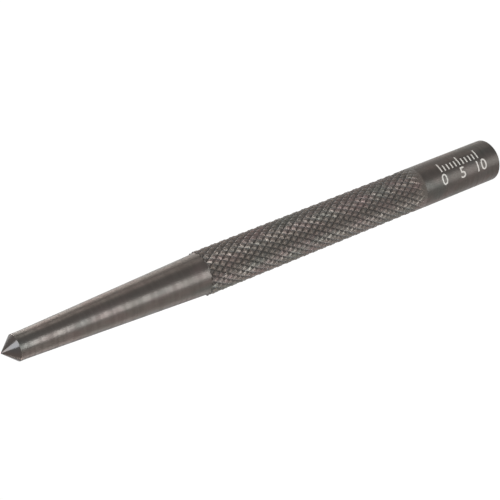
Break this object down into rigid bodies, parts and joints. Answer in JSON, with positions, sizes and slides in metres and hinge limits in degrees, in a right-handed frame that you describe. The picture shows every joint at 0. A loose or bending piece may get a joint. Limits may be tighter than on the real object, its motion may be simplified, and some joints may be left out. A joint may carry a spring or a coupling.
{
  "type": "center punch",
  "caption": "Round steel center punch with a conical ground point, a plain tapered nose, a diamond-knurled grip and a plain struck head.",
  "frame": {"origin": "centre of the flat striking face at the head end, on which the punch stands", "axes": "+Z along the bar's axis, from the striking face to the point; X and Y are free, as the bar is turned, and the knurl has a diamond top at +X"},
  "size_m": [0.0086, 0.0086, 0.115],
  "materials": {
    "blackened_steel": "oil-blackened tool steel with a satin sheen"
  },
  "bodies": {
    "root": {"punch": "blackened_steel"}
  },
  "joints": []
}
